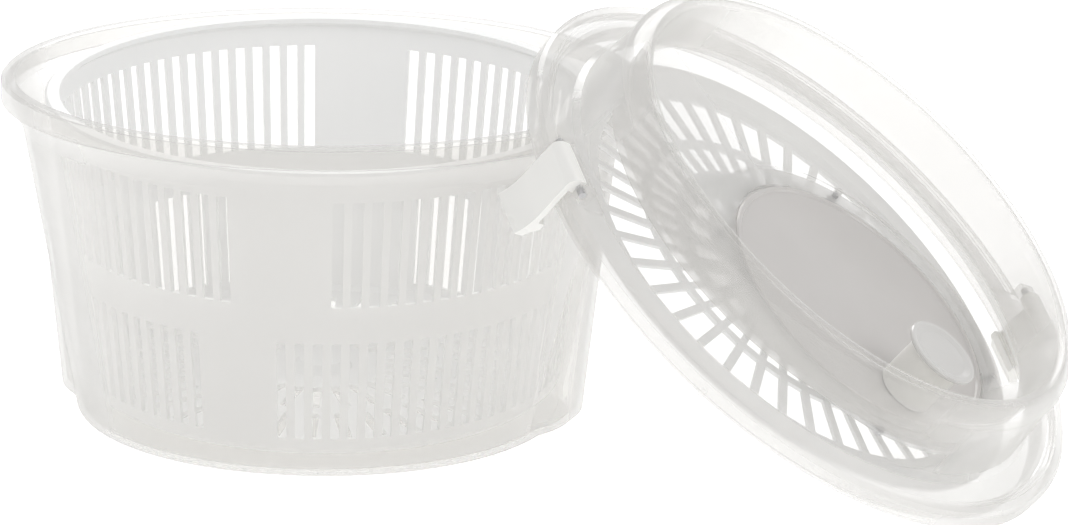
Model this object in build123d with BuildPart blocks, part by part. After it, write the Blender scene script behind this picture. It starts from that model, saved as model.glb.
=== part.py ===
from build123d import *
import os
from math import acos, cos, degrees, radians, sin, tan

# Salad spinner: a bowl with a slotted basket on a centre pivot, and the gear-driven lid
# leaning against the bowl's flange. Millimetres. Origin: centre of the bowl's base, +Z up.

# ---- bowl -------------------------------------------------------------------------------
BOWL_HEIGHT = 140.4
FLANGE_R = 130.0
FLANGE_INNER_R = 124.0
FLANGE_SKIRT = 8.9
BOWL_WALL = 2.0
FLOOR_WALL = 2.6
BASE_R = 100.5
BASE_CORNER = 4.5
BODY_TOP_R = 121.5
BODY_TOP_Z = 121.0
STEP_Z = 130.0
LOBE_R = 45.0
LOBE_BASE_OFFSET = 64.0
LOBE_TOP_OFFSET = 76.6
LOBE_BASE_Z = 2.0
LOBE_TURN = -12.0
LOBE_CORNER = 4.0
RECESS_DEPTH = 0.8
CENTRE_PAD_R = 16.0
PIVOT_Z = 16.0
PIVOT_TOP = 15.6
PIVOT_TIP_R = 4.0

# ---- basket -----------------------------------------------------------------------------
# The basket rests tipped on the pivot: its axis leans by these slopes along X and Y.
BASKET_LEAN_X = 0.0055
BASKET_LEAN_Y = -0.0645
BASKET_RIM_R = 112.2
BASKET_RIM_WIDTH = 5.8
BASKET_WALL = 1.8
BASKET_TAPER = 0.11
BASKET_RIM_UP = 119.2
BASKET_FLOOR_UP = -1.2
BASKET_FLOOR = 2.0
ROW_TOPS = (12.3, 72.0)
ROW_BOTTOMS = (56.5, 113.0)
ROW_SLOT_WIDTHS = (4.4, 3.6)
SLOT_PITCH = 4.0
SLOT_REACH = 14.0
# (circle radius, count, length, width) of each ring of slots in the floor
DRAIN_SLOTS = ((38.0, 24, 24.0, 4.0), (71.0, 36, 30.0, 4.5))
BASKET_SOCKET_R = 13.0
# (centre, half width) in degrees of the plain panels left between the slots, for each row
PLAIN_PANELS = (
    ((84.0, 9.0), (-96.0, 9.0)),
    ((84.0, 9.0), (-106.0, 7.0)),
)

# ---- lid --------------------------------------------------------------------------------
LID_CENTRE = (189.221, -81.106, 85.337)
LID_TILT = 40.555
LID_TURN = -26.557
LID_R = 131.0
LID_WALL = 1.8
LID_RIM_TOP = 8.0
LID_SHOULDER_TOP = 6.4
LID_CREST_Z = 42.0
CREST_R = 103.6
CREST_SIDE_R = 109.2
CREST_SIDE_Z = 32.0
LIP_R = 100.4
LIP_Z = 38.4
WELL_MOUTH_R = 99.5
WELL_MOUTH_Z = 17.0
WELL_R = 62.2
WELL_FLOOR_Z = 4.0
WELL_WALL = 2.0
LOCATING_R = 123.2
LOCATING_WALL = 1.6
LOCATING_DEPTH = 3.6
DISC_ANGLE = -68.0

# ---- gears ------------------------------------------------------------------------------
GEAR_MODULE = 1.0
RING_TEETH = 90
PINION_TEETH = 30
GEAR_OFFSET = GEAR_MODULE * (RING_TEETH - PINION_TEETH) / 2
TOOTH_SLACK = 0.18
GEAR_BOTTOM = -2.5
GEAR_TOP = 1.4
PINION_TOP = 0.7

# ---- crank ------------------------------------------------------------------------------
DISC_R = 61.4
DISC_TOP = 3.4
DISC_SKIN = 2.0
KNOB_CIRCLE = 44.3
KNOB_ANGLE = -120.5
KNOB_R = 11.5
KNOB_BOTTOM = 3.8
KNOB_SHOULDER = 19.0
KNOB_TOP = 25.6
KNOB_CAP_R = 15.5
KNOB_CAP_TOP = 27.4
KNOB_POST_R = 5.0
KNOB_RECESS_R = 8.5

# ---- gear housing -----------------------------------------------------------------------
TRAY_R = 66.0
TRAY_FLANGE_R = 72.5
TRAY_FLOOR_TOP = -2.8
TRAY_FLOOR_BOTTOM = -4.4
TRAY_TOP = 1.95
SPINDLE_R = 4.0
SPINDLE_BOSS_R = 9.0
SPINDLE_BOSS_TOP = -1.6
SPINDLE_END = -4.7
WASHER_THICKNESS = 0.8
PINION_HUB_R = 9.0
RUNNING_GAP = 0.05
TRAY_WALL = 1.8
TRAY_SCREW_R = 69.0
TRAY_HOLE_R = 1.3
TRAY_SCREW_ANGLES = (40.0, 130.0, 220.0, 310.0)
RING_R = 51.6
RING_SCREW_R = 49.2
RING_SCREW_ANGLES = (0.0, 120.0, 240.0)

# ---- spinner plate ----------------------------------------------------------------------
PLATE_HUB_TOP = -9.6
PLATE_HUB_R = 49.0
PLATE_TOP = -5.6
PLATE_WALL = 1.4
PLATE_BAND_TOP = -3.6
PLATE_BAND_INNER_R = 97.5
PLATE_R = 109.0
PLATE_SLOTS = 42
INNER_SLOTS = (54.0, 66.2)
OUTER_SLOTS = (70.4, 92.5)
INNER_RIB = 3.0
OUTER_RIB = 3.6
HUB_SLOTS = (20.0, 44.0)
HUB_SLOT_COUNT = 18
HUB_RIB = 6.0

# ---- clips ------------------------------------------------------------------------------
CLIP_ANGLES = (146.0, -34.0)
CLIP_WIDTH = 20.6
CLIP_PIN_RADIUS = 128.2
CLIP_PIN_Z = 12.2
CLIP_PIN_R = 1.5
CLIP_PIN_LENGTH = 28.6
CLIP_BARREL_R = 3.2
CLIP_TIP = 29.2
HOOK_LEDGE = 21.3
CLIP_PAD_CIRCLE = 120.5
CLIP_PAD_DEPTH = 12.0
CLIP_PAD_WIDTH = 31.0
CLIP_PAD_HEIGHT = 2.1
EAR_SPREAD = 12.8
EAR_DEPTH = 7.0
EAR_WIDTH = 3.0
EAR_TOP = 15.0

# ---- moulding nib on the lid's rim ------------------------------------------------------
NIB_ANGLE = -169.0
NIB_LENGTH = 3.0
NIB_WIDTH = 2.2
NIB_HEIGHT = 3.0

os.makedirs("parts", exist_ok=True)


def save(name, part):
    part.label = name
    export_step(part, f"parts/{name}.step")


def polar(radius, angle):
    return (radius * cos(radians(angle)), radius * sin(radians(angle)))


def axis_frame(base, angle=0.0):
    """Sketch plane through a frame's Z axis: x is the radius at that angle, y is the height."""
    turned = base.rotated((0, 0, angle))
    return Plane(origin=turned.origin, x_dir=turned.x_dir, z_dir=-turned.y_dir)


def axis_of(base):
    return Axis(base.origin, base.z_dir)


def shifted(base, x, y):
    """The same frame with its origin moved inside its own XY plane."""
    return Plane(origin=base.from_local_coords((x, y, 0)), x_dir=base.x_dir, z_dir=base.z_dir)


def clip_frame(angle):
    """Frame of one clip's pin: z along the pin, x outwards from the lid's axis, y down."""
    x, y = polar(CLIP_PIN_RADIUS, angle)
    outward = LID.from_local_coords((cos(radians(angle)), sin(radians(angle)), 0)) - LID.origin
    return Plane(
        origin=LID.from_local_coords((x, y, CLIP_PIN_Z)),
        x_dir=outward,
        z_dir=outward.cross(-LID.z_dir),
    )


def upside_down(base, height):
    """The same frame turned over at a height, so that its Z axis points down."""
    turned = base.offset(height)
    return Plane(origin=turned.origin, x_dir=turned.x_dir, z_dir=-turned.z_dir)


BOWL = Plane.XY
LOBES = Plane.XY.rotated((0, 0, LOBE_TURN))
BASKET_AXIS = (BASKET_LEAN_X, BASKET_LEAN_Y, 1)
BASKET = Plane(origin=(0, 0, PIVOT_Z), x_dir=(1, 0, -BASKET_LEAN_X), z_dir=BASKET_AXIS)
LID_NORMAL = (
    sin(radians(LID_TILT)) * cos(radians(LID_TURN)),
    sin(radians(LID_TILT)) * sin(radians(LID_TURN)),
    cos(radians(LID_TILT)),
)
LID_LEVEL = (-sin(radians(LID_TURN)), cos(radians(LID_TURN)), 0)
LID = Plane(origin=LID_CENTRE, x_dir=LID_LEVEL, z_dir=LID_NORMAL)
DISC = shifted(LID, *polar(GEAR_OFFSET, DISC_ANGLE))
KNOB = shifted(DISC, *polar(KNOB_CIRCLE, KNOB_ANGLE))


# ---- bowl -------------------------------------------------------------------------------
def lobe_offset(height):
    share = (height - LOBE_BASE_Z) / (BODY_TOP_Z - LOBE_BASE_Z)
    return LOBE_BASE_OFFSET + share * (LOBE_TOP_OFFSET - LOBE_BASE_OFFSET)


def lobe_section(height, side, radius):
    """Round section of one of the two lobes that run down the bowl's wall."""
    with BuildSketch(LOBES.offset(height)) as section:
        with Locations((side * lobe_offset(height), 0)):
            Circle(radius)
    return section.sketch


LOBE_CORNER_Z = LOBE_BASE_Z + LOBE_CORNER
LOBE_FLOOR_Z = LOBE_BASE_Z + BOWL_WALL
BASE_FLAT_R = BASE_R - BASE_CORNER
INNER_CORNER = BASE_CORNER - BOWL_WALL


def corner_arc(start_x, start_y, radius):
    """Middle and end of a quarter round that turns a floor up into a wall."""
    return (
        (start_x + radius * sin(radians(45)), start_y + radius * (1 - cos(radians(45)))),
        (start_x + radius, start_y + radius),
    )


with BuildPart() as bowl:
    # body, filled
    with BuildSketch(axis_frame(BOWL)):
        with BuildLine():
            Polyline(
                (BASE_R, BASE_CORNER),
                (BODY_TOP_R, BODY_TOP_Z),
                (0, BODY_TOP_Z),
                (0, 0),
                (BASE_FLAT_R, 0),
            )
            ThreePointArc((BASE_FLAT_R, 0), *corner_arc(BASE_FLAT_R, 0, BASE_CORNER))
        make_face()
    revolve(axis=Axis.Z)
    # lobes, filled
    for side in (-1, 1):
        loft(
            sections=[
                lobe_section(LOBE_BASE_Z, side, LOBE_R - LOBE_CORNER),
                lobe_section(LOBE_CORNER_Z, side, LOBE_R),
                lobe_section(BODY_TOP_Z, side, LOBE_R),
            ],
            ruled=True,
        )
    # cavity of the body
    with BuildSketch(axis_frame(BOWL)):
        with BuildLine():
            Polyline(
                (BASE_R - BOWL_WALL, FLOOR_WALL + INNER_CORNER),
                (BODY_TOP_R - BOWL_WALL, BODY_TOP_Z),
                (0, BODY_TOP_Z),
                (0, FLOOR_WALL),
                (BASE_FLAT_R, FLOOR_WALL),
            )
            ThreePointArc((BASE_FLAT_R, FLOOR_WALL), *corner_arc(BASE_FLAT_R, FLOOR_WALL, INNER_CORNER))
        make_face()
    revolve(axis=Axis.Z, mode=Mode.SUBTRACT)
    # cavities of the lobes
    for side in (-1, 1):
        loft(
            sections=[
                lobe_section(LOBE_FLOOR_Z, side, LOBE_R - LOBE_CORNER - BOWL_WALL),
                lobe_section(LOBE_FLOOR_Z + LOBE_CORNER, side, LOBE_R - BOWL_WALL),
                lobe_section(BODY_TOP_Z - BOWL_WALL, side, LOBE_R - BOWL_WALL),
            ],
            ruled=True,
            mode=Mode.SUBTRACT,
        )
    # step, rim and rolled flange
    with BuildSketch(axis_frame(BOWL)):
        with BuildLine():
            Polyline(
                (BODY_TOP_R - BOWL_WALL, BODY_TOP_Z),
                (BODY_TOP_R, BODY_TOP_Z),
                (FLANGE_INNER_R + BOWL_WALL, STEP_Z),
                (FLANGE_INNER_R + BOWL_WALL, BOWL_HEIGHT - BOWL_WALL),
                (FLANGE_R - BOWL_WALL, BOWL_HEIGHT - BOWL_WALL),
                (FLANGE_R - BOWL_WALL, BOWL_HEIGHT - FLANGE_SKIRT),
                (FLANGE_R, BOWL_HEIGHT - FLANGE_SKIRT),
                (FLANGE_R, BOWL_HEIGHT - 1.4),
                (FLANGE_R - 1.4, BOWL_HEIGHT),
                (FLANGE_INNER_R + 0.8, BOWL_HEIGHT),
                (FLANGE_INNER_R, BOWL_HEIGHT - 0.8),
                (FLANGE_INNER_R, STEP_Z + 1),
                close=True,
            )
        make_face()
    revolve(axis=Axis.Z)
    # centre boss and pivot tip
    with BuildSketch(axis_frame(BOWL)):
        with BuildLine():
            Polyline(
                (PIVOT_TIP_R, PIVOT_TOP - PIVOT_TIP_R),
                (7.5, FLOOR_WALL + 2),
                (9.5, FLOOR_WALL - 0.4),
                (0, FLOOR_WALL - 0.4),
                (0, PIVOT_TOP),
            )
            ThreePointArc(
                (0, PIVOT_TOP),
                (PIVOT_TIP_R * sin(radians(45)), PIVOT_TOP - PIVOT_TIP_R * (1 - cos(radians(45)))),
                (PIVOT_TIP_R, PIVOT_TOP - PIVOT_TIP_R),
            )
        make_face()
    revolve(axis=Axis.Z)
    # shallow recess under the floor, leaving a foot ring and a centre pad
    with BuildSketch(BOWL):
        Circle(BASE_FLAT_R - 9)
        Circle(CENTRE_PAD_R, mode=Mode.SUBTRACT)
    extrude(amount=RECESS_DEPTH, mode=Mode.SUBTRACT)
save("bowl", bowl.part)


# ---- basket -----------------------------------------------------------------------------
def basket_r(drop):
    """Outer radius of the basket's wall at a distance below its rim."""
    return BASKET_RIM_R - 1.0 - BASKET_TAPER * drop


def slot_angles(panels):
    """Middle angles of the slots in one row, leaving out the plain panels."""
    angles = []
    for index in range(round(360 / SLOT_PITCH)):
        angle = -180 + index * SLOT_PITCH
        if all(abs((angle - centre + 180) % 360 - 180) > half for centre, half in panels):
            angles.append(angle)
    return angles


BASKET_DEPTH = BASKET_RIM_UP - BASKET_FLOOR_UP

with BuildPart() as basket:
    # wall, rim and floor
    with BuildSketch(axis_frame(BASKET)):
        with BuildLine():
            Polyline(
                (0, BASKET_FLOOR_UP),
                (basket_r(BASKET_DEPTH) - 3, BASKET_FLOOR_UP),
                (basket_r(BASKET_DEPTH - 3), BASKET_FLOOR_UP + 3),
                (basket_r(5), BASKET_RIM_UP - 5),
                (BASKET_RIM_R, BASKET_RIM_UP - 4.5),
                (BASKET_RIM_R, BASKET_RIM_UP - 1),
                (BASKET_RIM_R - 1, BASKET_RIM_UP),
                (BASKET_RIM_R - BASKET_RIM_WIDTH, BASKET_RIM_UP),
                (BASKET_RIM_R - BASKET_RIM_WIDTH, BASKET_RIM_UP - 2),
                (basket_r(4) - BASKET_WALL, BASKET_RIM_UP - 4),
                (basket_r(BASKET_DEPTH - 4) - BASKET_WALL, BASKET_FLOOR_UP + 4),
                (basket_r(BASKET_DEPTH) - 4, BASKET_FLOOR_UP + BASKET_FLOOR),
                (0, BASKET_FLOOR_UP + BASKET_FLOOR),
                close=True,
            )
        make_face()
    revolve(axis=axis_of(BASKET))
    # slots through the wall, in two rows
    for top, bottom, width, panels in zip(ROW_TOPS, ROW_BOTTOMS, ROW_SLOT_WIDTHS, PLAIN_PANELS):
        radius = basket_r((top + bottom) / 2)
        with BuildSketch(BASKET.offset(BASKET_RIM_UP - bottom)):
            for angle in slot_angles(panels):
                with PolarLocations(radius, 1, angle):
                    Rectangle(SLOT_REACH, width)
        extrude(amount=bottom - top, mode=Mode.SUBTRACT)
    # drain slots in the floor
    with BuildSketch(BASKET.offset(BASKET_FLOOR_UP - 1)):
        for circle, count, length, width in DRAIN_SLOTS:
            with PolarLocations(circle, count):
                SlotOverall(length, width)
    extrude(amount=BASKET_FLOOR + 2, mode=Mode.SUBTRACT)
    # pivot socket that stands over the bowl's pivot tip
    with BuildSketch(axis_frame(BASKET)):
        with BuildLine():
            Polyline(
                (BASKET_SOCKET_R, BASKET_FLOOR_UP),
                (BASKET_SOCKET_R, BASKET_FLOOR_UP + BASKET_FLOOR),
                (9, 4.0),
                (0, 4.0),
                (0, BASKET_FLOOR_UP),
                close=True,
            )
        make_face()
    revolve(axis=axis_of(BASKET))
    with BuildSketch(axis_frame(BASKET)):
        with BuildLine():
            Polyline(
                (0, 0.0),
                (4.6, 0.0),
                (9.5, BASKET_FLOOR_UP - 0.5),
                (0, BASKET_FLOOR_UP - 0.5),
                close=True,
            )
        make_face()
    revolve(axis=axis_of(BASKET), mode=Mode.SUBTRACT)
save("basket", basket.part)


# ---- lid --------------------------------------------------------------------------------
def well_section(height, offset_share, radius):
    """Round section of the well; offset_share 0 is on the lid's axis, 1 on the disc's."""
    frame = shifted(LID, *polar(GEAR_OFFSET * offset_share, DISC_ANGLE))
    with BuildSketch(frame.offset(height)) as section:
        Circle(radius)
    return section.sketch


WELL_UNDER_Z = WELL_FLOOR_Z - WELL_WALL
MOUTH_OUTER_R = WELL_MOUTH_R + LID_WALL
TRAY_BOLTS = [polar(TRAY_SCREW_R, angle) for angle in TRAY_SCREW_ANGLES]

with BuildPart() as lid:
    # rim band, shoulder, wall and rounded crest
    with BuildSketch(axis_frame(LID)):
        with BuildLine():
            Polyline(
                (LID_R - LID_WALL, 0),
                (LID_R, 0),
                (LID_R, LID_RIM_TOP - 1.5),
                (LID_R - 1.5, LID_RIM_TOP),
                (126.4, LID_RIM_TOP),
                (125.8, LID_RIM_TOP - 0.6),
                (125.0, LID_RIM_TOP - 0.6),
                (124.4, LID_RIM_TOP - 1.2),
                (123.4, LID_RIM_TOP - 1.2),
                (122.8, LID_SHOULDER_TOP),
                (114.0, LID_SHOULDER_TOP),
                (111.5, LID_SHOULDER_TOP + 2.2),
                (CREST_SIDE_R, CREST_SIDE_Z),
            )
            ThreePointArc((CREST_SIDE_R, CREST_SIDE_Z), (107.6, 39.4), (CREST_R, LID_CREST_Z))
            ThreePointArc((CREST_R, LID_CREST_Z), (101.2, 41.0), (LIP_R, LIP_Z))
            Polyline(
                (LIP_R, LIP_Z),
                (WELL_MOUTH_R, WELL_MOUTH_Z),
                (WELL_MOUTH_R + LID_WALL, WELL_MOUTH_Z),
                (LIP_R + LID_WALL, LIP_Z),
            )
            ThreePointArc(
                (LIP_R + LID_WALL, LIP_Z),
                (102.8, LID_CREST_Z - 2.3),
                (CREST_R + 0.4, LID_CREST_Z - LID_WALL),
            )
            ThreePointArc(
                (CREST_R + 0.4, LID_CREST_Z - LID_WALL),
                (106.3, 37.9),
                (CREST_SIDE_R - LID_WALL, CREST_SIDE_Z),
            )
            Polyline(
                (CREST_SIDE_R - LID_WALL, CREST_SIDE_Z),
                (109.7, LID_SHOULDER_TOP + 1.2),
                (112.2, LID_SHOULDER_TOP - LID_WALL),
                (LID_R - LID_WALL, LID_SHOULDER_TOP - LID_WALL),
                (LID_R - LID_WALL, 0),
            )
        make_face()
    revolve(axis=axis_of(LID))
    # ring that centres the lid inside the bowl's flange
    with BuildSketch(LID.offset(-LOCATING_DEPTH)):
        Circle(LOCATING_R)
        Circle(LOCATING_R - LOCATING_WALL, mode=Mode.SUBTRACT)
    extrude(amount=LOCATING_DEPTH + LID_SHOULDER_TOP - LID_WALL + 0.5)
    # well: its outside, then its inside, running from the mouth on the lid's axis to the disc
    loft(
        sections=[
            well_section(WELL_UNDER_Z, 1, WELL_R + WELL_WALL),
            well_section(WELL_MOUTH_Z - WELL_WALL, 0, MOUTH_OUTER_R),
        ],
        ruled=True,
    )
    with BuildSketch(LID.offset(WELL_MOUTH_Z - WELL_WALL)):
        Circle(MOUTH_OUTER_R)
    extrude(amount=WELL_WALL)
    loft(
        sections=[
            well_section(WELL_FLOOR_Z, 1, WELL_R),
            well_section(WELL_MOUTH_Z, 0, WELL_MOUTH_R),
        ],
        ruled=True,
        mode=Mode.SUBTRACT,
    )
    with BuildSketch(DISC.offset(WELL_UNDER_Z - 1)):
        Circle(WELL_R)
    extrude(amount=WELL_FLOOR_Z - WELL_UNDER_Z + 1.1, mode=Mode.SUBTRACT)
    # flange under the well that the gear housing screws to
    with BuildSketch(DISC.offset(WELL_UNDER_Z)):
        Circle(TRAY_FLANGE_R)
        Circle(WELL_R, mode=Mode.SUBTRACT)
    extrude(amount=WELL_FLOOR_Z - WELL_UNDER_Z)
    with BuildSketch(DISC.offset(WELL_UNDER_Z - 1)):
        with Locations(*TRAY_BOLTS):
            Circle(TRAY_HOLE_R)
    extrude(amount=WELL_FLOOR_Z - WELL_UNDER_Z + 3, mode=Mode.SUBTRACT)
    # raised pads and ears that carry the clips' pins
    for angle in CLIP_ANGLES:
        with BuildSketch(LID.offset(LID_SHOULDER_TOP - 0.5)):
            with PolarLocations(CLIP_PAD_CIRCLE, 1, angle):
                Rectangle(CLIP_PAD_DEPTH, CLIP_PAD_WIDTH)
        extrude(amount=CLIP_PAD_HEIGHT)
        with BuildSketch(LID.offset(LID_SHOULDER_TOP - 0.5)):
            with PolarLocations(CLIP_PIN_RADIUS, 1, angle):
                with Locations((-1.4, -EAR_SPREAD), (-1.4, EAR_SPREAD)):
                    Rectangle(EAR_DEPTH, EAR_WIDTH)
        extrude(amount=EAR_TOP - LID_SHOULDER_TOP + 0.5)
        pin_frame = clip_frame(angle)
        with BuildSketch(pin_frame.offset(-EAR_SPREAD - EAR_WIDTH)):
            Circle(CLIP_PIN_R)
        extrude(amount=2 * (EAR_SPREAD + EAR_WIDTH), mode=Mode.SUBTRACT)
    # moulding nib on the rim's lower edge
    with BuildSketch(LID):
        with PolarLocations(LID_R + 0.6, 1, NIB_ANGLE):
            Rectangle(NIB_LENGTH, NIB_WIDTH)
    extrude(amount=NIB_HEIGHT)
save("lid", lid.part)


# ---- gear housing -----------------------------------------------------------------------
def turned_part(frame, points):
    """Closed (radius, height) profile turned about a frame's Z axis, added to the open part."""
    with BuildSketch(axis_frame(frame)) as profile:
        with BuildLine():
            Polyline(*points, close=True)
        make_face()
    revolve(profile.sketch, axis=axis_of(frame))


def cut_round(frame, bottom, top, radius, spots=((0, 0),)):
    """Round holes through the open part, between two heights of a frame."""
    with BuildSketch(frame.offset(bottom)) as holes:
        with Locations(*spots):
            Circle(radius)
    extrude(holes.sketch, amount=top - bottom, mode=Mode.SUBTRACT)


def add_screws(frame, spots, head_bottom, head_top, head_r, shaft_top, shaft_r):
    """Screws with their heads below and their shafts up, with a hex socket in each head."""
    half_head = (head_top - head_bottom) / 2
    with BuildSketch(frame.offset(head_bottom)) as socket_half:
        with Locations(*spots):
            Circle(head_r)
            RegularPolygon(head_r * 0.45, 6, mode=Mode.SUBTRACT)
    extrude(socket_half.sketch, amount=half_head)
    with BuildSketch(frame.offset(head_bottom + half_head)) as head_half:
        with Locations(*spots):
            Circle(head_r)
    extrude(head_half.sketch, amount=half_head)
    with BuildSketch(frame.offset(head_top)) as shaft:
        with Locations(*spots):
            Circle(shaft_r)
    extrude(shaft.sketch, amount=shaft_top - head_top)


with BuildPart() as gear_housing:
    turned_part(
        DISC,
        (
            (0, TRAY_FLOOR_BOTTOM),
            (TRAY_R - 1.5, TRAY_FLOOR_BOTTOM),
            (TRAY_R, TRAY_FLOOR_BOTTOM + 1.5),
            (TRAY_R, 0.1),
            (TRAY_FLANGE_R, 0.1),
            (TRAY_FLANGE_R, TRAY_TOP),
            (TRAY_R - TRAY_WALL, TRAY_TOP),
            (TRAY_R - TRAY_WALL, TRAY_FLOOR_TOP + 1),
            (TRAY_R - TRAY_WALL - 1, TRAY_FLOOR_TOP),
            (SPINDLE_BOSS_R, TRAY_FLOOR_TOP),
            (SPINDLE_BOSS_R, SPINDLE_BOSS_TOP),
            (0, SPINDLE_BOSS_TOP),
        ),
    )
    cut_round(DISC, TRAY_FLOOR_BOTTOM - 1, 0, SPINDLE_R + RUNNING_GAP)
    cut_round(LID, TRAY_FLOOR_BOTTOM - 1, TRAY_FLOOR_TOP + 1, PINION_HUB_R + RUNNING_GAP)
    cut_round(DISC, -1, TRAY_TOP + 1, TRAY_HOLE_R, TRAY_BOLTS)
save("gear_housing", gear_housing.part)

with BuildPart() as housing_screws:
    add_screws(DISC, TRAY_BOLTS, -1.6, 0.1, 2.4, WELL_FLOOR_Z - 0.4, 1.25)
save("housing_screws", housing_screws.part)


# ---- crank disc and its gear ------------------------------------------------------------
RING_BOLTS = [polar(RING_SCREW_R, angle) for angle in RING_SCREW_ANGLES]
SKIN_BOTTOM = DISC_TOP - DISC_SKIN

with BuildPart() as crank_disc:
    turned_part(
        DISC,
        (
            (0, -1.2),
            (7.5, -1.2),
            (7.5, SKIN_BOTTOM),
            (DISC_R - 1.6, SKIN_BOTTOM),
            (DISC_R - 1.6, -2.2),
            (DISC_R, -2.2),
            (DISC_R, DISC_TOP),
            (DISC_R - 0.7, DISC_TOP + 0.6),
            (DISC_R - 2.2, DISC_TOP + 0.6),
            (DISC_R - 2.8, DISC_TOP),
            (0, DISC_TOP),
        ),
    )
    cut_round(DISC, -2, 2.2, SPINDLE_R)
    cut_round(DISC, 0, 2.6, 0.9, RING_BOLTS)
    # post that the knob turns on
    turned_part(
        KNOB,
        (
            (0, DISC_TOP - 0.5),
            (KNOB_POST_R + 2, DISC_TOP - 0.5),
            (KNOB_POST_R + 2, DISC_TOP + 0.1),
            (KNOB_POST_R, DISC_TOP + 0.2),
            (KNOB_POST_R, KNOB_SHOULDER + 0.3),
            (0, KNOB_SHOULDER + 0.3),
        ),
    )
    cut_round(KNOB, 8, KNOB_SHOULDER + 1, 1.4)
save("crank_disc", crank_disc.part)


def gear_points(teeth, tip_r, root_r, turn, thinner):
    """Outline of an involute gear: each flank is three straight facets from root to tip."""
    pitch_r = GEAR_MODULE * teeth / 2
    base_r = pitch_r * cos(radians(20))
    half_at_pitch = 90 / teeth - degrees(thinner / pitch_r)

    def flank(radius):
        if radius <= base_r:
            return 0.0
        slope = acos(base_r / radius)
        return degrees(tan(slope) - slope)

    radii = [root_r, (root_r + tip_r) / 2, tip_r]
    halves = [half_at_pitch + flank(pitch_r) - flank(radius) for radius in radii]
    points = []
    for tooth in range(teeth):
        middle = turn + 360 * tooth / teeth
        points += [polar(radius, middle - half) for radius, half in zip(radii, halves)]
        points += [polar(radius, middle + half) for radius, half in reversed(list(zip(radii, halves)))]
    return points


MESH_ANGLE = DISC_ANGLE + 180
RING_PITCH_R = GEAR_MODULE * RING_TEETH / 2
PINION_PITCH_R = GEAR_MODULE * PINION_TEETH / 2

with BuildPart() as ring_gear:
    with BuildSketch(DISC.offset(GEAR_BOTTOM)):
        Circle(RING_R)
        with BuildLine():
            Polyline(
                *gear_points(RING_TEETH, RING_PITCH_R + 1.25, RING_PITCH_R - 1.0, MESH_ANGLE, 0)[::-1],
                close=True,
            )
        make_face(mode=Mode.SUBTRACT)
    extrude(amount=GEAR_TOP - GEAR_BOTTOM)
    cut_round(DISC, GEAR_BOTTOM - 1, GEAR_TOP + 1, 0.95, RING_BOLTS)
    cut_round(DISC, GEAR_BOTTOM - 1, GEAR_BOTTOM + 1.5, 1.9, RING_BOLTS)
save("ring_gear", ring_gear.part)

with BuildPart() as ring_gear_screws:
    add_screws(DISC, RING_BOLTS, GEAR_BOTTOM + 0.2, GEAR_BOTTOM + 1.5, 1.8, 2.5, 0.85)
save("ring_gear_screws", ring_gear_screws.part)

with BuildPart() as crank_spindle:
    with BuildSketch(DISC.offset(SPINDLE_END)):
        Circle(SPINDLE_R)
    extrude(amount=2.1 - SPINDLE_END)
    cut_round(DISC, SPINDLE_END - 1, 0.6, 1.5)
save("crank_spindle", crank_spindle.part)

with BuildPart() as spindle_washer:
    with BuildSketch(DISC.offset(SPINDLE_END - WASHER_THICKNESS)):
        Circle(8)
        Circle(1.6, mode=Mode.SUBTRACT)
    extrude(amount=WASHER_THICKNESS)
save("spindle_washer", spindle_washer.part)

with BuildPart() as spindle_screw:
    spindle_seat = SPINDLE_END - WASHER_THICKNESS
    add_screws(DISC, ((0, 0),), spindle_seat - 1.8, spindle_seat, 3.6, 0.4, 1.45)
save("spindle_screw", spindle_screw.part)


# ---- pinion and spinner plate -----------------------------------------------------------
with BuildPart() as pinion:
    with BuildSketch(LID.offset(GEAR_BOTTOM)):
        with BuildLine():
            Polyline(
                *gear_points(
                    PINION_TEETH, PINION_PITCH_R + 1.0, PINION_PITCH_R - 1.25, MESH_ANGLE, TOOTH_SLACK
                ),
                close=True,
            )
        make_face()
    extrude(amount=PINION_TOP - GEAR_BOTTOM)
    with BuildSketch(LID.offset(PLATE_HUB_TOP)):
        Circle(PINION_HUB_R)
    extrude(amount=GEAR_BOTTOM - PLATE_HUB_TOP)
    cut_round(LID, PLATE_HUB_TOP - 1, -1.6, 1.5)
save("pinion", pinion.part)


def slot_ring(inner_r, outer_r, count, rib):
    """Wedge-shaped slots in a ring, with straight ribs of one width between them."""
    pitch = 360 / count
    wedge = []
    for radius, side in ((inner_r, -1), (outer_r, -1), (outer_r, 1), (inner_r, 1)):
        half = pitch / 2 - degrees(rib / 2 / radius)
        wedge.append(polar(radius, side * half))
    with PolarLocations(0, count):
        Polygon(*wedge, align=None)


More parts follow.
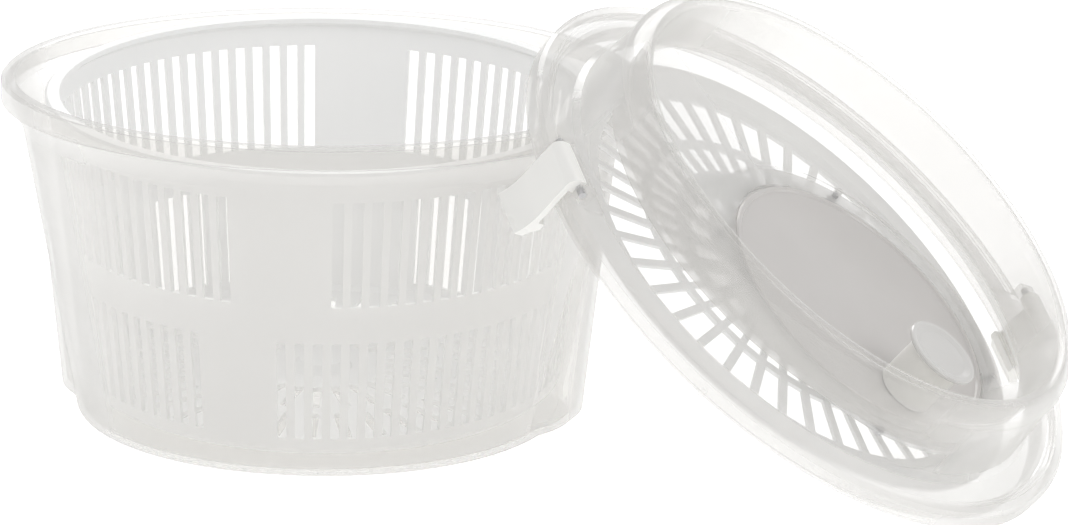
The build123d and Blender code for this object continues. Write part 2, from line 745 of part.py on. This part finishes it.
with BuildPart() as spinner_plate:
    turned_part(
        LID,
        (
            (0, PLATE_HUB_TOP - PLATE_WALL),
            (PLATE_HUB_R + 0.6, PLATE_HUB_TOP - PLATE_WALL),
            (PLATE_HUB_R + 4.2, PLATE_TOP - PLATE_WALL),
            (PLATE_BAND_INNER_R - 0.4, PLATE_TOP - PLATE_WALL),
            (PLATE_BAND_INNER_R + 1.8, PLATE_BAND_TOP - PLATE_WALL),
            (PLATE_R, PLATE_BAND_TOP - PLATE_WALL),
            (PLATE_R, PLATE_BAND_TOP),
            (PLATE_BAND_INNER_R + 1.0, PLATE_BAND_TOP),
            (PLATE_BAND_INNER_R - 1.2, PLATE_TOP),
            (PLATE_HUB_R + 3.5, PLATE_TOP),
            (PLATE_HUB_R, PLATE_HUB_TOP),
            (12.0, PLATE_HUB_TOP),
            (12.0, TRAY_FLOOR_BOTTOM - 0.5),
            (PINION_HUB_R, TRAY_FLOOR_BOTTOM - 0.5),
            (PINION_HUB_R, PLATE_HUB_TOP),
            (0, PLATE_HUB_TOP),
        ),
    )
    with BuildSketch(LID.offset(PLATE_TOP - PLATE_WALL - 1)):
        slot_ring(*OUTER_SLOTS, PLATE_SLOTS, OUTER_RIB)
        slot_ring(*INNER_SLOTS, PLATE_SLOTS, INNER_RIB)
    extrude(amount=PLATE_WALL + 2, mode=Mode.SUBTRACT)
    with BuildSketch(LID.offset(PLATE_HUB_TOP - PLATE_WALL - 1)):
        slot_ring(*HUB_SLOTS, HUB_SLOT_COUNT, HUB_RIB)
    extrude(amount=PLATE_WALL + 2, mode=Mode.SUBTRACT)
    cut_round(LID, PLATE_HUB_TOP - PLATE_WALL - 1, PLATE_HUB_TOP + 1, 1.6)
save("spinner_plate", spinner_plate.part)

PLATE_UNDER = PLATE_HUB_TOP - PLATE_WALL

with BuildPart() as pinion_washer:
    with BuildSketch(LID.offset(PLATE_UNDER - WASHER_THICKNESS)):
        Circle(6)
        Circle(1.6, mode=Mode.SUBTRACT)
    extrude(amount=WASHER_THICKNESS)
save("pinion_washer", pinion_washer.part)

with BuildPart() as pinion_screw:
    add_screws(LID, ((0, 0),), PLATE_UNDER - 2.6, PLATE_UNDER - WASHER_THICKNESS, 3.6, -1.8, 1.45)
save("pinion_screw", pinion_screw.part)


# ---- knob -------------------------------------------------------------------------------
with BuildPart() as knob:
    turned_part(
        KNOB,
        (
            (KNOB_POST_R + RUNNING_GAP, KNOB_BOTTOM),
            (KNOB_R - 0.6, KNOB_BOTTOM),
            (KNOB_R, KNOB_BOTTOM + 0.6),
            (KNOB_R, KNOB_TOP),
            (KNOB_RECESS_R, KNOB_TOP),
            (KNOB_RECESS_R, KNOB_SHOULDER),
            (KNOB_POST_R + RUNNING_GAP, KNOB_SHOULDER),
        ),
    )
save("knob", knob.part)

with BuildPart() as knob_cap:
    turned_part(
        KNOB,
        (
            (0, KNOB_TOP - 2.4),
            (KNOB_RECESS_R - 0.1, KNOB_TOP - 2.4),
            (KNOB_RECESS_R - 0.1, KNOB_TOP),
            (KNOB_CAP_R - 0.6, KNOB_TOP),
            (KNOB_CAP_R, KNOB_TOP + 0.6),
            (KNOB_CAP_R, KNOB_CAP_TOP - 0.5),
            (KNOB_CAP_R - 0.5, KNOB_CAP_TOP),
            (KNOB_CAP_R - 2.0, KNOB_CAP_TOP),
            (KNOB_CAP_R - 4.5, KNOB_CAP_TOP - 0.8),
            (0, KNOB_CAP_TOP - 1.0),
        ),
    )
save("knob_cap", knob_cap.part)

with BuildPart() as knob_washer:
    with BuildSketch(KNOB.offset(KNOB_SHOULDER + 0.3)):
        Circle(KNOB_RECESS_R - 0.6)
        Circle(1.6, mode=Mode.SUBTRACT)
    extrude(amount=WASHER_THICKNESS)
save("knob_washer", knob_washer.part)

with BuildPart() as knob_screw:
    knob_seat = KNOB_SHOULDER + 0.3 + WASHER_THICKNESS
    add_screws(upside_down(KNOB, knob_seat), ((0, 0),), -1.6, 0, 3.2, 10.0, 1.35)
save("knob_screw", knob_screw.part)


# ---- clips ------------------------------------------------------------------------------
for side, angle in zip(("left", "right"), CLIP_ANGLES):
    frame = clip_frame(angle)
    with BuildPart() as clip:
        with BuildSketch(frame.offset(-CLIP_WIDTH / 2)):
            with BuildLine():
                Line((0.0, -CLIP_BARREL_R), (2.2, -CLIP_BARREL_R))
                ThreePointArc((2.2, -CLIP_BARREL_R), (4.9, -2.0), (6.0, 0.8))
                Line((6.0, 0.8), (6.0, 16.0))
                ThreePointArc((6.0, 16.0), (6.6, 22.5), (9.2, CLIP_TIP))
                Polyline(
                    (9.2, CLIP_TIP),
                    (5.4, CLIP_TIP),
                    (3.2, 26.4),
                    (0.4, 24.2),
                    (0.4, HOOK_LEDGE),
                    (3.4, HOOK_LEDGE),
                    (3.4, 2.8),
                    (0.0, CLIP_BARREL_R),
                    (0.0, -CLIP_BARREL_R),
                )
            make_face()
            Circle(CLIP_BARREL_R)
            Circle(CLIP_PIN_R + RUNNING_GAP, mode=Mode.SUBTRACT)
        extrude(amount=CLIP_WIDTH)
    save(f"clip_{side}", clip.part)
    with BuildPart() as clip_pin:
        with BuildSketch(frame.offset(-CLIP_PIN_LENGTH / 2)):
            Circle(CLIP_PIN_R)
        extrude(amount=CLIP_PIN_LENGTH)
    save(f"clip_pin_{side}", clip_pin.part)
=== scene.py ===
import math

import bpy
from mathutils import Matrix, Vector


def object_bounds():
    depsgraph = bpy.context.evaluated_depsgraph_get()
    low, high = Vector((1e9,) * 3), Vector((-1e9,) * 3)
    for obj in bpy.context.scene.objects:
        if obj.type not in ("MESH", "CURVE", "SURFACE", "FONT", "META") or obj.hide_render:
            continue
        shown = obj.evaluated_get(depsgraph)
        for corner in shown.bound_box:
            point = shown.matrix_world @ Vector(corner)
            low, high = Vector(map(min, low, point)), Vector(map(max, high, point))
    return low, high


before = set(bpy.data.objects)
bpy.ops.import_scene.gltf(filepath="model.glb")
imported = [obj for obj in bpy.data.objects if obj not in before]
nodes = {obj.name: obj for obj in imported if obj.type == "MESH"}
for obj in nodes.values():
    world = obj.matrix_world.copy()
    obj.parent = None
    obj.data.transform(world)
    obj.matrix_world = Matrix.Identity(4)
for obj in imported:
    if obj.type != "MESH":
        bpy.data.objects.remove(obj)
CAD_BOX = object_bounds()

# walls of clear plastic that one ray may pass, and turns of light inside the white basket
TRANSPARENT_BOUNCES = 32
DIFFUSE_BOUNCES = 8
# metres
FLOOR_REACH = 6.0
FLOOR_GREY = 0.82
FLOOR_LIFT = 0.5
# brightness of the surroundings: as the camera sees them, and as they light the part
WORLD_SEEN = 1.0
WORLD_LIT = 0.82
# camera: metres, degrees and millimetres
CAMERA_PLACE = (0.08701, -1.78143, 0.54383)
CAMERA_PITCH = 15.119
CAMERA_ROLL = 1.138
CAMERA_LENS = 151.685
SENSOR_WIDTH = 36.0

# ---------------------------------------------------------------- materials
def new_material(name):
    """An empty node material with its output, and short hands for making nodes and links."""
    mat = bpy.data.materials.new(name)
    mat.use_nodes = True
    tree = mat.node_tree
    tree.nodes.clear()
    return mat, tree, tree.nodes.new("ShaderNodeOutputMaterial")


def ramp(tree, source, low, high, start=0.35, stop=0.65):
    """A Map Range that takes a noise's middle values to low..high."""
    node = tree.nodes.new("ShaderNodeMapRange")
    node.inputs["From Min"].default_value = start
    node.inputs["From Max"].default_value = stop
    node.inputs["To Min"].default_value = low
    node.inputs["To Max"].default_value = high
    tree.links.new(source, node.inputs["Value"])
    return node.outputs["Result"]


def noise(tree, scale, detail=3.0, roughness=0.55, stretch=(1, 1, 1)):
    """Noise in object space, so the grain has its true size in metres."""
    coords = tree.nodes.new("ShaderNodeTexCoord")
    mapping = tree.nodes.new("ShaderNodeMapping")
    mapping.inputs["Scale"].default_value = stretch
    texture = tree.nodes.new("ShaderNodeTexNoise")
    texture.inputs["Scale"].default_value = scale
    texture.inputs["Detail"].default_value = detail
    texture.inputs["Roughness"].default_value = roughness
    tree.links.new(coords.outputs["Object"], mapping.inputs["Vector"])
    tree.links.new(mapping.outputs["Vector"], texture.inputs["Vector"])
    return texture.outputs["Fac"]


def bump(tree, height, strength, distance):
    """A bump normal from a height."""
    node = tree.nodes.new("ShaderNodeBump")
    node.inputs["Strength"].default_value = strength
    node.inputs["Distance"].default_value = distance
    tree.links.new(height, node.inputs["Height"])
    return node.outputs["Normal"]


def blend_colour(tree, factor, first, second):
    """One colour or the other by a factor."""
    node = tree.nodes.new("ShaderNodeMix")
    node.data_type = "RGBA"
    node.inputs["A"].default_value = (*first, 1)
    node.inputs["B"].default_value = (*second, 1)
    tree.links.new(factor, node.inputs["Factor"])
    return node.outputs["Result"]


def edge_range(tree, low, high, start=0.0):
    """A value from low, where a wall is seen square on, to high, where it is seen along its skin."""
    facing = tree.nodes.new("ShaderNodeLayerWeight")
    facing.inputs["Blend"].default_value = 0.5
    node = tree.nodes.new("ShaderNodeMapRange")
    node.inputs["From Min"].default_value = start
    node.inputs["To Min"].default_value = low
    node.inputs["To Max"].default_value = high
    tree.links.new(facing.outputs["Facing"], node.inputs["Value"])
    return node.outputs["Result"]


def mix_shaders(tree, factor, first, second):
    """One shader or the other by a factor."""
    node = tree.nodes.new("ShaderNodeMixShader")
    if isinstance(factor, float):
        node.inputs[0].default_value = factor
    else:
        tree.links.new(factor, node.inputs[0])
    tree.links.new(first.outputs[0], node.inputs[1])
    tree.links.new(second.outputs[0], node.inputs[2])
    return node


def clear_plastic(name, tint, edge_tint_with_painted_shade, milk, haze, edge_haze, roughness):
    """Milky clear polypropylene: a thin wall that shows what is behind it through a haze.

    tint colours what is seen through the wall square on, and the edge tint what is seen along it;
    that edge colour is darker partly for the longer path through the wall and partly as painted
    shade and painted dark refraction lines on faces seen edge on. haze and edge_haze are the shares
    of the milk in it. A glossy skin lies over both.
    """
    mat, tree, out = new_material(name)
    flow = noise(tree, 26.0, 4.0, stretch=(1, 1, 0.25))
    wall = tree.nodes.new("ShaderNodeBsdfTransparent")
    # what is seen through darkens on faces seen edge on: partly the longer path through the wall,
    # partly painted shade and painted dark refraction lines
    seen_through_with_painted_shade = blend_colour(tree, edge_range(tree, 0.0, 1.0, 0.55), tint, edge_tint_with_painted_shade)
    tree.links.new(seen_through_with_painted_shade, wall.inputs["Color"])
    cloud = tree.nodes.new("ShaderNodeBsdfDiffuse")
    lighter = tuple(min(1.0, 1.03 * c) for c in milk)
    milky = blend_colour(tree, ramp(tree, flow, 0, 1), milk, lighter)
    tree.links.new(milky, cloud.inputs["Color"])
    glow = tree.nodes.new("ShaderNodeBsdfTranslucent")
    glow.inputs["Color"].default_value = (*lighter, 1)
    milk_mix = mix_shaders(tree, 0.5, cloud, glow)
    body = mix_shaders(tree, edge_range(tree, haze, edge_haze, 0.25), wall, milk_mix)
    skin = tree.nodes.new("ShaderNodeBsdfGlossy")
    tree.links.new(ramp(tree, flow, roughness * 0.7, roughness * 1.4), skin.inputs["Roughness"])
    tree.links.new(bump(tree, flow, 0.02, 0.002), skin.inputs["Normal"])
    shine = edge_range(tree, 0.025, 0.30, 0.45)
    tree.links.new(mix_shaders(tree, shine, body, skin).outputs[0], out.inputs["Surface"])
    return mat


def solid_plastic(name, colour, second, roughness, coat=0.0, through=0.0, grain=0.06):
    """Moulded plastic with faint clouds between two colours, a fine skin and uneven gloss.

    coat is a clear gloss over it, through the share of light that passes its walls.
    """
    mat, tree, out = new_material(name)
    shader = tree.nodes.new("ShaderNodeBsdfPrincipled")
    cloud = noise(tree, 18.0, 3.0)
    skin = noise(tree, 1400.0, 2.0)
    clouded = blend_colour(tree, ramp(tree, cloud, 0, 1), colour, second)
    tree.links.new(clouded, shader.inputs["Base Color"])
    tree.links.new(ramp(tree, cloud, roughness * 0.85, roughness * 1.2), shader.inputs["Roughness"])
    tree.links.new(bump(tree, skin, grain, 0.0003), shader.inputs["Normal"])
    shader.inputs["IOR"].default_value = 1.48
    shader.inputs["Coat Weight"].default_value = coat
    shader.inputs["Coat Roughness"].default_value = 0.08
    if through:
        glow = tree.nodes.new("ShaderNodeBsdfTranslucent")
        glow.inputs["Color"].default_value = (*second, 1)
        shader = mix_shaders(tree, through, shader, glow)
    tree.links.new(shader.outputs[0], out.inputs["Surface"])
    return mat


def zinc_steel(name):
    """Zinc-plated steel with fine turning marks and dull patches."""
    mat, tree, out = new_material(name)
    shader = tree.nodes.new("ShaderNodeBsdfPrincipled")
    patches = noise(tree, 160.0, 4.0)
    marks = noise(tree, 2600.0, 2.0, stretch=(1, 1, 6))
    zinc = blend_colour(tree, ramp(tree, patches, 0, 1), (0.62, 0.62, 0.64), (0.76, 0.76, 0.78))
    tree.links.new(zinc, shader.inputs["Base Color"])
    tree.links.new(ramp(tree, patches, 0.28, 0.42), shader.inputs["Roughness"])
    tree.links.new(bump(tree, marks, 0.2, 0.0002), shader.inputs["Normal"])
    shader.inputs["Metallic"].default_value = 1.0
    tree.links.new(shader.outputs[0], out.inputs["Surface"])
    return mat


# the edge tints below darken what is seen along a wall: partly the longer path through it, partly
# painted shade and painted dark refraction lines
bowl_plastic = clear_plastic(
    "bowl_clear_pp",
    tint=(0.945, 0.942, 0.937),
    edge_tint_with_painted_shade=(0.79, 0.786, 0.778),
    milk=(0.95, 0.946, 0.935),
    haze=0.10,
    edge_haze=0.48,
    roughness=0.10,
)
lid_plastic = clear_plastic(
    "lid_clear_pp",
    tint=(0.945, 0.943, 0.94),
    edge_tint_with_painted_shade=(0.78, 0.776, 0.768),
    milk=(0.92, 0.914, 0.898),
    haze=0.085,
    edge_haze=0.60,
    roughness=0.08,
)
housing_plastic = clear_plastic(
    "housing_clear_pp",
    tint=(0.95, 0.95, 0.95),
    edge_tint_with_painted_shade=(0.86, 0.86, 0.86),
    milk=(0.94, 0.94, 0.935),
    haze=0.30,
    edge_haze=0.55,
    roughness=0.12,
)
white_plastic = solid_plastic(
    "basket_white_pp", (0.955, 0.955, 0.95), (0.965, 0.965, 0.96), 0.34, through=0.06
)
plate_plastic = solid_plastic(
    "plate_white_pp", (0.95, 0.95, 0.948), (0.96, 0.96, 0.958), 0.36, through=0.15
)
disc_plastic = solid_plastic(
    "disc_grey_gloss", (0.58, 0.56, 0.545), (0.60, 0.58, 0.565), 0.16, coat=0.35, grain=0.02
)
knob_plastic = solid_plastic("knob_cream", (0.77, 0.76, 0.725), (0.80, 0.79, 0.76), 0.3)
cap_plastic = solid_plastic(
    "cap_grey", (0.62, 0.61, 0.595), (0.65, 0.64, 0.625), 0.18, coat=0.3, grain=0.02
)
clip_plastic = solid_plastic(
    "clip_white", (0.90, 0.895, 0.87), (0.92, 0.915, 0.89), 0.3, through=0.1
)
gear_plastic = solid_plastic("gear_acetal", (0.74, 0.73, 0.70), (0.78, 0.77, 0.74), 0.38)
steel = zinc_steel("screw_zinc")

FINISH = {
    "bowl": bowl_plastic,
    "basket": white_plastic,
    "lid": lid_plastic,
    "gear_housing": housing_plastic,
    "crank_disc": disc_plastic,
    "ring_gear": gear_plastic,
    "pinion": gear_plastic,
    "spinner_plate": plate_plastic,
    "knob": knob_plastic,
    "knob_cap": cap_plastic,
    "clip_left": clip_plastic,
    "clip_right": clip_plastic,
}
for name, node in nodes.items():
    finish = FINISH.get(name, steel)
    for slot in node.material_slots:
        slot.material = finish

# ---------------------------------------------------------------- floor, light and camera
low, high = CAD_BOX
floor_mesh = bpy.data.meshes.new("floor")
corners = [(x * FLOOR_REACH, y * FLOOR_REACH, 0) for x, y in ((-1, -1), (1, -1), (1, 1), (-1, 1))]
floor_mesh.from_pydata(corners, [], [(0, 1, 2, 3)])
floor = bpy.data.objects.new("floor", floor_mesh)
bpy.context.scene.collection.objects.link(floor)
mat, tree, out = new_material("floor_white")
diffuse = tree.nodes.new("ShaderNodeBsdfDiffuse")
diffuse.inputs["Color"].default_value = (FLOOR_GREY, FLOOR_GREY, FLOOR_GREY, 1)
lift = tree.nodes.new("ShaderNodeEmission")
lift.inputs["Strength"].default_value = FLOOR_LIFT
both = tree.nodes.new("ShaderNodeAddShader")
tree.links.new(diffuse.outputs[0], both.inputs[0])
tree.links.new(lift.outputs[0], both.inputs[1])
tree.links.new(both.outputs[0], out.inputs["Surface"])
floor_mesh.materials.append(mat)

world = bpy.data.worlds.new("studio")
bpy.context.scene.world = world
world.use_nodes = True
tree = world.node_tree
tree.nodes.clear()
out = tree.nodes.new("ShaderNodeOutputWorld")
seen = tree.nodes.new("ShaderNodeBackground")
seen.inputs["Strength"].default_value = WORLD_SEEN
lit = tree.nodes.new("ShaderNodeBackground")
lit.inputs["Strength"].default_value = WORLD_LIT
path = tree.nodes.new("ShaderNodeLightPath")
direct = tree.nodes.new("ShaderNodeMath")
direct.operation = "MAXIMUM"
tree.links.new(path.outputs["Is Camera Ray"], direct.inputs[0])
tree.links.new(path.outputs["Is Transmission Ray"], direct.inputs[1])
mix = tree.nodes.new("ShaderNodeMixShader")
tree.links.new(direct.outputs[0], mix.inputs[0])
tree.links.new(lit.outputs[0], mix.inputs[1])
tree.links.new(seen.outputs[0], mix.inputs[2])
tree.links.new(mix.outputs[0], out.inputs["Surface"])


def softbox(name, place, target, width, height, power):
    """A rectangular area lamp that looks at a point."""
    light = bpy.data.lights.new(name, "AREA")
    light.shape = "RECTANGLE"
    light.size = width
    light.size_y = height
    light.energy = power
    lamp = bpy.data.objects.new(name, light)
    lamp.location = place
    lamp.rotation_euler = (Vector(target) - Vector(place)).to_track_quat("-Z", "Y").to_euler()
    bpy.context.scene.collection.objects.link(lamp)


middle = ((low[0] + high[0]) / 2, (low[1] + high[1]) / 2, (low[2] + high[2]) / 2)
softbox("key", (-0.9, -0.9, 1.5), middle, width=1.2, height=1.0, power=4.5)
softbox("fill", (1.5, -0.7, 1.0), middle, width=1.0, height=1.2, power=6.0)
softbox("back", (0.2, 1.4, 1.3), middle, width=1.6, height=0.8, power=14.0)

camera_data = bpy.data.cameras.new("camera")
camera_data.sensor_width = SENSOR_WIDTH
camera_data.lens = CAMERA_LENS
camera = bpy.data.objects.new("camera", camera_data)
camera.matrix_world = (
    Matrix.Translation(CAMERA_PLACE)
    @ Matrix.Rotation(math.radians(90 - CAMERA_PITCH), 4, "X")
    @ Matrix.Rotation(math.radians(CAMERA_ROLL), 4, "Z")
)
bpy.context.scene.collection.objects.link(camera)
bpy.context.scene.camera = camera
bpy.context.scene.view_settings.view_transform = "Standard"
bpy.context.scene.cycles.transparent_max_bounces = TRANSPARENT_BOUNCES
bpy.context.scene.cycles.diffuse_bounces = DIFFUSE_BOUNCES
